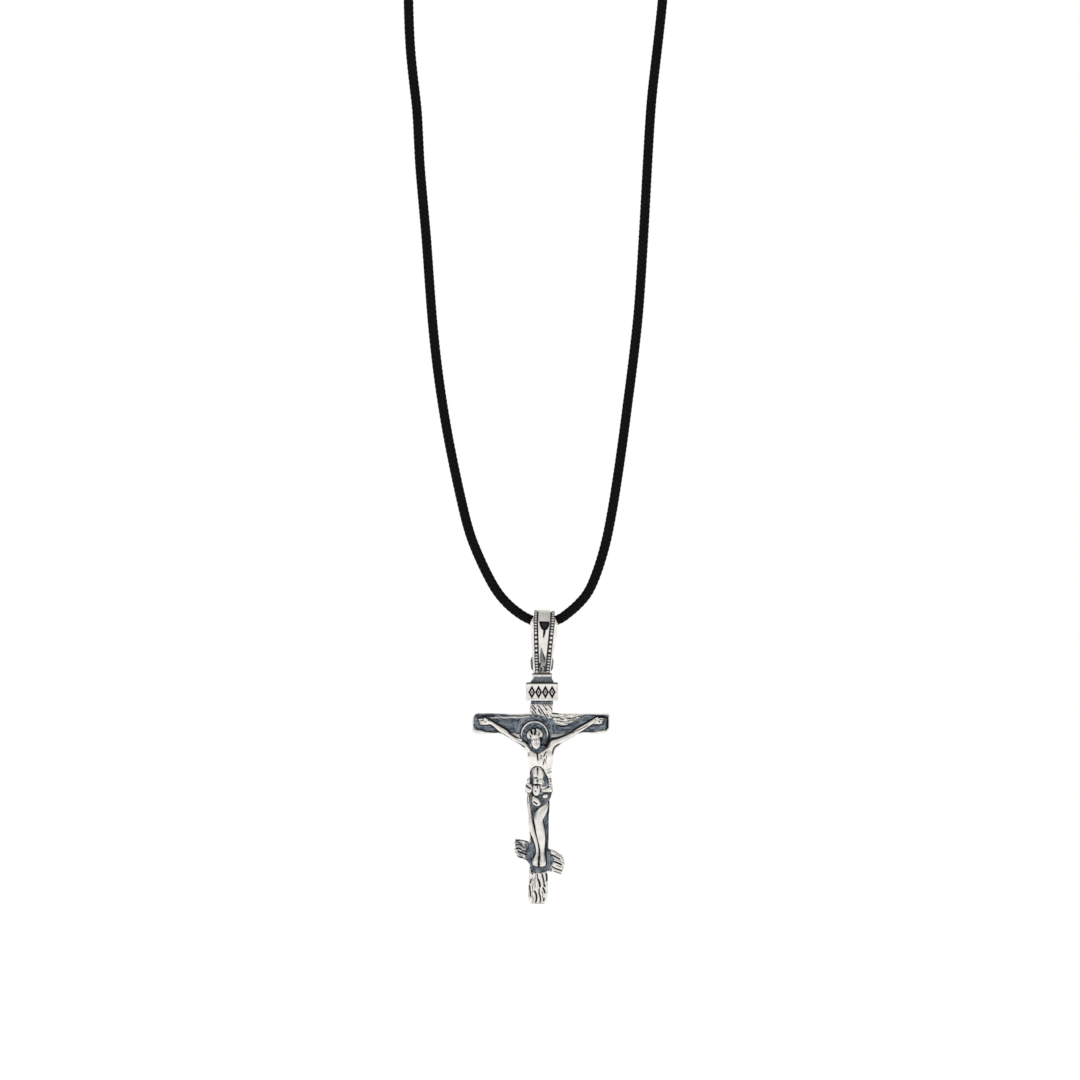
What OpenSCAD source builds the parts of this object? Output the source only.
// Silver crucifix pendant on a round black cord, hanging from the top of its loop.
// The origin is the point of the loop that rests on its support, +Z is up and -Y is the front.
// The loop, the bail and the cross all lie round the plane y = 0.

/* [Cord] */
// Thickness of the braided cord
cord_d = 1.8; // [1.6:0.1:1.8]
// Length of the barrel clasp at the top of the loop
clasp_l = 20; // [18:1:20]
// Outer diameter of the barrel clasp
clasp_d = 3.6; // [3.4:0.1:4]

/* [Bail] */
// Inner radius of the bend that hangs on the cord
bend_r = 1.7; // [1.7:0.05:1.9]
// Inner radius of the turn that carries the cross
turn_r = 0.75; // [0.75:0.05:0.9]
// Distance from the centre of the bend to the centre of the turn
bail_reach = 6.35; // [6.2:0.05:6.5]
// Wall of the band at its plain borders
bail_wall = 0.85; // [0.8:0.05:0.9]
// Height of the polished middle strip above the borders
strip_rise = 0.3; // [0.2:0.05:0.35]
// Width of the band at the bend
bail_top_w = 5.5; // [5.3:0.1:5.8]
// Width of the band at its foot
bail_foot_w = 3.5; // [3.3:0.1:3.7]
// Width of the band where it passes through the eye
waist_w = 2.2; // [2:0.1:2.2]
// Diameter of one bead of the beaded rows
bead_d = 0.68; // [0.6:0.02:0.72]
// Lean of the bail to the right, as it hangs on the uneven bend of the cord
bail_lean = 2.5; // [0:0.5:3]

/* [Eye] */
// Radius of the eye's hole
eye_hole_r = 1.7; // [1.7:0.05:1.8]
// Thickness of the eye's wire
eye_wire = 0.7; // [0.6:0.05:0.8]

/* [Cross] */
// Height of the upright, without the eye
cross_h = 46; // [45:0.5:47]
// Thickness of the beams
beam_t = 2.2; // [1.8:0.1:2.4]
// Length of the crossbar
bar_l = 27.1; // [26:0.1:28]
// Height of the crossbar
bar_h = 3.8; // [3.6:0.1:4]
// Depth of the crossbar's middle below the top of the upright
bar_drop = 10.1; // [10:0.05:10.2]
// Width of the title board
board_w = 6.4; // [6:0.1:6.8]
// Height of the title board
board_h = 3.4; // [3:0.1:3.6]
// Length of the slanting foot bar
foot_l = 10.2; // [9.5:0.1:11]
// Height of the slanting foot bar
foot_h = 3.6; // [3.2:0.1:3.8]
// Slant of the foot bar
foot_slant = 20; // [15:1:25]
// Outer radius of the halo
halo_r = 2.75; // [2.6:0.05:2.9]

/* [Hidden] */

// Drop from the support to the centre of the bail's bend
bend_drop = 222.2;
// Sides of the cord's tube
cord_sides = 8;
// The loop's centreline [x, z], clockwise seen from the front, from the clasp's left socket round to its right one
route = [
    [-7, 1.8], [-10, 1.8], [-17, 0], [-22.6, -4.5], [-26, -11], [-27.3, -20], [-27.5, -38],
    [-27.1, -66], [-26.7, -98], [-26.1, -110], [-25, -120], [-24.4, -131], [-23.1, -146], [-22, -161],
    [-20.7, -173], [-18.8, -185], [-16.1, -198], [-13.9, -206], [-10.3, -213.9], [-7.6, -217.8],
    [-4.8, -220.3], [-2.4, -221.7], [0.3, -222.5], [3, -221.8], [5, -220.6], [8.3, -217.5],
    [10.5, -213.5], [12.9, -205.7], [15, -194], [17.2, -178], [19.3, -160], [20.7, -138], [21.9, -118],
    [24.1, -98], [26.6, -66], [27.5, -38], [27.3, -20], [26, -11], [22.6, -4.5], [17, 0], [10, 1.8],
    [7, 1.8]
];

// How deep the cord's ends sit in the clasp, and the room round them
socket_depth = clasp_l / 2 + route[0][0];
socket_room = 0.1;

// Bail: heights are measured from the centre of its bend, down its own middle line
waist_gap = 0.15;
waist_top = -bail_reach - turn_r;
eye_drop = -waist_top + sqrt(pow(eye_hole_r, 2) - pow(waist_w / 2, 2)) - waist_gap;
leaf_below_eye = 1.55;
foot_z = -eye_drop - leaf_below_eye;
foot_corner = 0.5;
foot_round = 1.7;
foot_steps = 6;
leaf_back = turn_r;
// How much narrower the bend is than the shoulders below it, and the height of the flare between them
shoulder_w = 0.7;
shoulder_rise = 2.3;
bail_arc_steps = 14;
// Distance from the middle line to the bead rows and to the strip's edges, at the bend and at the foot
row_x = [1.75, 1.15];
strip_x = [1.2, 0.6];
// The beads start behind the bend and stop short of the foot
bead_pitch = 0.88;
bead_start = -2.2;
bead_margin = 1.3;
// Play between the eye's wire and the narrowed band that it turns on
waist_rise = 0.9;

// The centres of the turn and of the eye's hole in the frame
turn_z = -bend_drop - bail_reach;
eye_z = -bend_drop - eye_drop;
shoulder_gap = 2;

// Cross: heights are measured from the top of the upright
front_y = -beam_t / 2;
shoulder_t = 1.2;
shoulder_h = 1.5;
board_drop = 3.75;
board_t = 1.7;
board_rise = 0.95;
board_rim = 0.42;
board_sink = 0.2;
halo_at = [-1.55, -12.4];
halo_t = 0.75;
halo_rise = 0.15;
halo_rim = 0.45;
foot_at = [-0.75, -36.6];
rim_w = 0.3;
sink = 0.28;
relief_fn = 14;
// Outline of the upright, [x, height]
upright = [
    [-1.9, 0], [1.9, 0], [1.9, -1.2], [2.2, -1.8], [2.2, -6], [2, -7], [1.8, -20], [1.3, -31],
    [1.15, -40], [0.6, -cross_h + 0.15], [-1.2, -cross_h], [-2.85, -cross_h + 0.25], [-2.7, -40],
    [-2.5, -33], [-2.4, -20], [-2.4, -7], [-2.2, -6], [-2.2, -1.8], [-1.9, -1.2]
];
// Grooves of the wood grain, [x, height, length, turn from upright]
grain = [
    [-2.3, -42.5, 3.6, 3], [-1.65, -40.5, 4.6, -5], [-1.3, -44.2, 3, 6], [-0.75, -39.8, 4, 4],
    [-0.55, -43.5, 4, -4], [0.05, -40.2, 4.4, 6], [0.3, -44, 2.4, -3],
    [-4.4, -32.2, 2.4, 68], [-4.3, -33.1, 2.7, 68], [-4.2, -34, 2.7, 70], [-4, -34.9, 2.4, 70],
    [2.6, -35.9, 2.6, 70], [2.6, -36.8, 2.8, 71], [2.4, -37.8, 2.8, 70], [2.2, -38.8, 2.4, 71],
    [-1.3, -7.2, 1.5, 35], [-0.6, -7.2, 1.7, 38], [0.1, -7.2, 1.7, 36], [0.8, -7.2, 1.6, 38],
    [2.4, -8.9, 2, 66], [3.6, -9.2, 2.2, 74], [4.9, -9.3, 2, 78], [-7.2, -8.7, 2.6, 86]
];
groove = 0.26;

// Joints of the figure, [x, y, height]
shoulder_l = [-3, -1.65, -14.5];
shoulder_r = [1.8, -1.65, -14.5];
elbow_l = [-6.7, -1.5, -12.2];
elbow_r = [6.6, -1.5, -11.8];
wrist_l = [-10, -1.45, -10.2];
wrist_r = [9.8, -1.45, -10];
tips_l = [-12.6, -1.35, -9.5];
tips_r = [11.9, -1.35, -9.5];
knee_l = [-2.3, -2.1, -28.8];
knee_r = [-0.8, -2.5, -29.2];
ankle_l = [-1.25, -1.7, -35.8];
ankle_r = [0, -1.7, -35.6];
toes_l = [-1.5, -2, -38];
toes_r = [0.05, -2, -38];
head_at = [-1.6, -2, -12.9];

// A smooth curve through the route's points: the halfway point of each pair is set by their neighbours
function halfway(p, i) =
    let(a = p[max(i - 1, 0)], d = p[min(i + 2, len(p) - 1)])
    (9 * (p[i] + p[i + 1]) - a - d) / 16;
function smooth(p) = [
    for (i = [0 : len(p) - 1], half = [0 : (i < len(p) - 1 ? 1 : 0)]) half == 0 ? p[i] : halfway(p, i)
];
// Direction of the curve at a point: both ends lie along the clasp
function along(p, i) =
    let(d = i == 0 || i == len(p) - 1 ? [-1, 0] : p[i + 1] - p[i - 1]) d / norm(d);

// Outline [y, z] of two round ends joined by straight sides, with the lower end's centre at -reach
function slope(r_top, r_low, reach) = asin((r_top - r_low) / reach);
function loop_outline(r_top, r_low, reach, steps) =
    let(a = slope(r_top, r_low, reach))
    concat(
        [for (i = [0 : steps]) let(t = -a + (180 + 2 * a) * i / steps) r_top * [cos(t), sin(t)]],
        [for (i = [0 : steps]) let(t = 180 + a + (180 - 2 * a) * i / steps) r_low * [cos(t), sin(t)] - [0, reach]]
    );

// A half width of the bail that narrows evenly from the bend to the foot
function narrowing(pair, z) = pair[0] + (pair[1] - pair[0]) * min(max(z / foot_z, 0), 1);

// A bead's place on the outside of the bail, by its distance along the front from the middle of the bend
function bead_spot(s) =
    let(
        r = bend_r + bail_wall,
        a = slope(bend_r, turn_r, bail_reach),
        straight = r * (90 - a) * PI / 180,
        past = s - straight,
        t = 90 + s / r * 180 / PI
    )
    past < 0
        ? [-r * sin(t - 90), r * cos(t - 90)]
        : [min(past * sin(a) - r * cos(a), -leaf_back - bail_wall), r * sin(a) - past * cos(a)];

module cord() {
    points = smooth(route);
    turn = 360 / cord_sides;
    rings = [
        for (i = [0 : len(points) - 1])
            let(t = along(points, i))
            for (k = [0 : cord_sides - 1])
                let(c = cord_d / 2 * cos(k * turn), s = cord_d / 2 * sin(k * turn))
                [points[i][0] - t[1] * c, s, points[i][1] + t[0] * c]
    ];
    last = (len(points) - 1) * cord_sides;
    sides = [
        for (i = [0 : len(points) - 2], k = [0 : cord_sides - 1])
            let(a = i * cord_sides + k, b = i * cord_sides + (k + 1) % cord_sides)
            each [[a, b, b + cord_sides], [a, b + cord_sides, a + cord_sides]]
    ];
    caps = [
        [for (k = [cord_sides - 1 : -1 : 0]) k],
        [for (k = [0 : cord_sides - 1]) last + k]
    ];
    color("#161617") polyhedron(rings, concat(sides, caps));
}

module clasp() {
    chamfer = 0.5;
    r = clasp_d / 2;
    half = clasp_l / 2;
    socket_r = cord_d / 2 + socket_room;
    color("#c9c6c0")
    translate([0, 0, r])
    rotate([0, 90, 0])
    rotate_extrude($fn = 64)
    polygon([
        [0, half - socket_depth], [socket_r, half - socket_depth], [socket_r, half], [r - chamfer, half],
        [r, half - chamfer], [r, chamfer - half], [r - chamfer, -half], [socket_r, -half],
        [socket_r, socket_depth - half], [0, socket_depth - half]
    ]);
}

// Moves its children from the bail's side view, y to the right and z up, into the frame
module from_side(width) {
    rotate([90, 0, 90]) translate([0, 0, -width / 2]) linear_extrude(width) children();
}

// A band in the front view, with half widths at the bend and at the foot, a flare from the bend to its
// shoulders, and round corners at the foot
module front_view(half, flare, corner) {
    top = bend_r + bail_wall + strip_rise + 1;
    rotate([90, 0, 0])
    linear_extrude(4 * bend_r + 4, center = true)
    union() {
        polygon([
            [flare - half[0], top], [half[0] - flare, top], [half[0] - flare, shoulder_rise], [half[0], 0],
            [half[1], foot_z + corner], [-half[1], foot_z + corner], [-half[0], 0],
            [flare - half[0], shoulder_rise]
        ]);
        translate([0, foot_z + corner])
        square([2 * (half[1] - corner), 2 * corner], center = true);
        for (side = [-1, 1])
            translate([side * (half[1] - corner), foot_z + corner]) circle(corner, $fn = 24);
    }
}

// The closed loop of one layer of the band, and the leaf that carries its front on past the turn
module band_layer(wall) {
    difference() {
        union() {
            polygon(loop_outline(bend_r + wall, turn_r + wall, bail_reach, bail_arc_steps));
            polygon(concat(
                [[-leaf_back - wall - 0.12, 1 - bail_reach], [-leaf_back, 1 - bail_reach], [-leaf_back, foot_z]],
                [
                    for (i = [0 : foot_steps])
                        let(t = 90 * i / foot_steps)
                        [-leaf_back - 0.2 - (wall - 0.2) * sin(t), foot_z + foot_round * (1 - cos(t))]
                ]
            ));
        }
        polygon(loop_outline(bend_r, turn_r, bail_reach, bail_arc_steps));
    }
}

// Two rows of beads, half sunk in the band
module bead_rows() {
    row_l = PI / 2 * (bend_r + bail_wall) - foot_z - bead_margin;
    for (s = [bead_start : bead_pitch : row_l], side = [-1, 1])
        let(spot = bead_spot(abs(s)), y = s < 0 ? -spot[0] : spot[0])
        translate([side * narrowing(row_x, spot[1]), y, spot[1]]) sphere(bead_d / 2, $fn = 20);
}

// Narrows the turn and the back above it, so that the eye swings round the band
module waist_cut() {
    below = -foot_z - bail_reach;
    through = turn_r + bail_wall + strip_rise + bead_d;
    for (side = [0, 1])
        mirror([side, 0, 0])
        translate([waist_w / 2, -leaf_back, foot_z - 1])
        cube([bail_top_w, leaf_back + through, below + 1 + waist_rise]);
}

module bail() {
    color("#cfcbc4")
    translate([0, 0, turn_z])
    rotate([0, bail_lean, 0])
    translate([0, 0, bail_reach])
    difference() {
        union() {
            intersection() {
                from_side(bail_top_w) band_layer(bail_wall);
                front_view([bail_top_w, bail_foot_w] / 2, shoulder_w, foot_corner);
            }
            intersection() {
                from_side(bail_top_w) band_layer(bail_wall + strip_rise);
                front_view(strip_x, 0, 0.1);
            }
            bead_rows();
        }
        waist_cut();
    }
}

// Outline of the three beams, seen from the front
module beam_outline() {
    polygon(upright);
    translate([0, -bar_drop]) polygon([
        [-bar_l / 2 - 0.3, bar_h / 2 - 0.25], [-bar_l / 2 + 0.1, bar_h / 2], [-4, bar_h / 2 - 0.1],
        [4, bar_h / 2 - 0.1], [bar_l / 2 - 0.5, bar_h / 2], [bar_l / 2 - 0.3, bar_h / 2 - 0.3],
        [bar_l / 2 - 0.6, -bar_h / 2 + 0.3], [bar_l / 2 - 0.9, -bar_h / 2], [5, -bar_h / 2 + 0.15],
        [-6, -bar_h / 2 + 0.15], [-bar_l / 2 + 0.2, -bar_h / 2], [-bar_l / 2 - 0.3, -bar_h / 2 + 0.3]
    ]);
    translate(foot_at) rotate(-foot_slant) square([foot_l, foot_h], center = true);
}

// The sunk and blackened ground inside the beams' polished edges, without the patches of bare grain
module ground_outline() {
    difference() {
        offset(delta = -rim_w) beam_outline();
        translate([0, -7.2]) square([6, 2.2], center = true);
        polygon([[1.6, -8], [6.2, -8], [5.6, -9.6], [3.2, -10.2], [1.8, -9.2]]);
        translate([-0.9, 2 - cross_h]) square([6, 8.6], center = true);
        translate([-4.7, -33]) square([3, 6], center = true);
        translate([3.6, -37.5]) square([2.6, 6], center = true);
    }
}

// Thins the top of the upright, so that it passes behind the bail's leaf
module shoulder_cut() {
    slot = (beam_t - shoulder_t) / 2;
    for (side = [-1, 1])
        translate([0, side * (beam_t - slot) / 2, 0])
        cube([8, slot + 0.001, 2 * shoulder_h], center = true);
}

module beams() {
    difference() {
        rotate([90, 0, 0]) linear_extrude(beam_t, center = true) beam_outline();
        translate([0, front_y + sink, 0]) rotate([90, 0, 0]) linear_extrude(1) ground_outline();
        for (g = grain)
            translate([g[0], front_y, g[1]]) rotate([0, -g[3], 0]) rotate([0, 0, 45])
            cube([groove, groove, g[2]], center = true);
        shoulder_cut();
    }
}

module title_board() {
    lozenge_w = 0.9;
    lozenge_h = 1.72;
    lozenge_pitch = 1.35;
    face_y = front_y - board_rise;
    translate([0, 0, -board_drop]) {
        difference() {
            translate([0, face_y + board_t / 2, 0]) cube([board_w, board_t, board_h], center = true);
            translate([0, face_y, 0])
            cube([board_w - 2 * board_rim, 2 * board_sink, board_h - 2 * board_rim], center = true);
        }
        for (i = [-1.5 : 1.5])
            translate([i * lozenge_pitch, face_y + board_sink, 0])
            scale([lozenge_w / 2, 1, lozenge_h / 2])
            rotate([90, 0, 0])
            cylinder(h = board_sink, r = 1, center = true, $fn = 4);
    }
}

module eye() {
    translate([0, 0, shoulder_gap])
    rotate([90, 0, 0])
    rotate_extrude($fn = 40)
    translate([eye_hole_r + eye_wire / 2, 0]) circle(eye_wire / 2, $fn = 14);
}

module halo() {
    translate([halo_at[0], front_y, halo_at[1]])
    rotate([90, 0, 0])
    translate([0, 0, -halo_t])
    difference() {
        cylinder(r = halo_r, h = halo_t + halo_rim, $fn = 48);
        translate([0, 0, halo_t + halo_rise]) cylinder(r = halo_r - rim_w, h = halo_rim, $fn = 48);
    }
}

module ball(at, r) {
    translate(at) scale(r / r[0]) sphere(r[0], $fn = relief_fn);
}

module limb(a, ra, b, rb) {
    hull() {
        translate(a) sphere(ra, $fn = relief_fn);
        translate(b) sphere(rb, $fn = relief_fn);
    }
}

module arm(shoulder, elbow, wrist, tips) {
    limb(shoulder, 0.85, elbow, 0.6);
    limb(elbow, 0.6, wrist, 0.42);
    hull() {
        ball(wrist, [0.4, 0.4, 0.4]);
        ball((wrist + tips) / 2, [0.7, 0.35, 0.55]);
        ball(tips, [0.3, 0.25, 0.25]);
    }
}

module leg(hip, hip_r, knee, calf, ankle, toes) {
    limb(hip, hip_r, knee, 0.82);
    limb(knee, 0.8, calf, 0.82);
    limb(calf, 0.82, ankle, 0.5);
    limb(ankle, 0.5, toes, 0.62);
}

module torso() {
    hull() {
        ball([-1.9, -1.7, -16.4], [1.4, 1.35, 1.7]);
        ball([1, -1.7, -16.4], [1.4, 1.35, 1.7]);
        ball([-0.5, -1.6, -19], [2, 1.4, 1.4]);
    }
    hull() {
        ball([-0.5, -1.6, -19], [1.9, 1.2, 1.4]);
        ball([-0.4, -1.5, -22.8], [2.1, 1.4, 1.3]);
    }
    limb([-1.5, -1.4, -13.6], 0.8, [-0.9, -1.6, -15.4], 0.9);
}

module loincloth() {
    hull() {
        ball([-2.4, -1.7, -23.1], [1.1, 1.3, 0.95]);
        ball([0.9, -1.7, -22.9], [1.1, 1.3, 0.8]);
    }
    hull() {
        ball([-2.4, -1.8, -23.6], [0.9, 1.2, 0.8]);
        ball([-2.6, -1.9, -25.8], [0.55, 1, 0.6]);
    }
    hull() {
        ball([-1.3, -2.4, -23.6], [0.7, 1, 0.8]);
        ball([-1.1, -2.3, -25.8], [0.9, 0.9, 0.7]);
    }
    ball([-1.3, -3, -23.3], [0.75, 0.6, 0.75]);
}

module head() {
    translate(head_at) rotate([0, 6, 0]) {
        ball([0, 0.1, 0.2], [1.3, 1.2, 1.45]);
        hull() {
            ball([0, -0.35, -0.2], [0.85, 0.9, 1.1]);
            ball([0.1, -0.3, -1.5], [0.5, 0.6, 0.6]);
        }
        for (side = [-1, 1])
            hull() {
                ball([side * 0.95, 0.05, 0.7], [0.6, 0.85, 0.6]);
                ball([side * 1.3, 0.3, -0.9], [0.4, 0.6, 0.6]);
            }
    }
}

// Solid metal between the figure and the ground behind it, and between its arms and the crossbar
module backing() {
    translate([0, front_y + 0.6, 0])
    rotate([90, 0, 0])
    linear_extrude(1)
    polygon([
        [-3.2, -14.2], [-6.45, -12.1], [-6.45, -11], [6.2, -11], [6.2, -12.05], [1.9, -14.2], [1.7, -16.5],
        [1.3, -20], [1.5, -24.4], [0.6, -28.5], [-2, -28.5], [-2.6, -24], [-2.3, -20], [-2.8, -17]
    ]);
    translate(head_at) rotate([-90, 0, 0]) cylinder(r = 0.9, h = 1.4, $fn = 16);
}

module figure() {
    backing();
    arm(shoulder_l, elbow_l, wrist_l, tips_l);
    arm(shoulder_r, elbow_r, wrist_r, tips_r);
    head();
    torso();
    loincloth();
    leg([-2, -1.7, -24.2], 1.1, knee_l, [-2, -1.9, -31.6], ankle_l, toes_l);
    leg([0.6, -1.8, -24.6], 1.15, knee_r, [0.05, -2, -31.8], ankle_r, toes_r);
}

module crucifix() {
    color("#9aa0a4")
    translate([0, 0, eye_z - shoulder_gap]) {
        beams();
        title_board();
        eye();
        halo();
        figure();
    }
}

cord();
clasp();
bail();
crucifix();
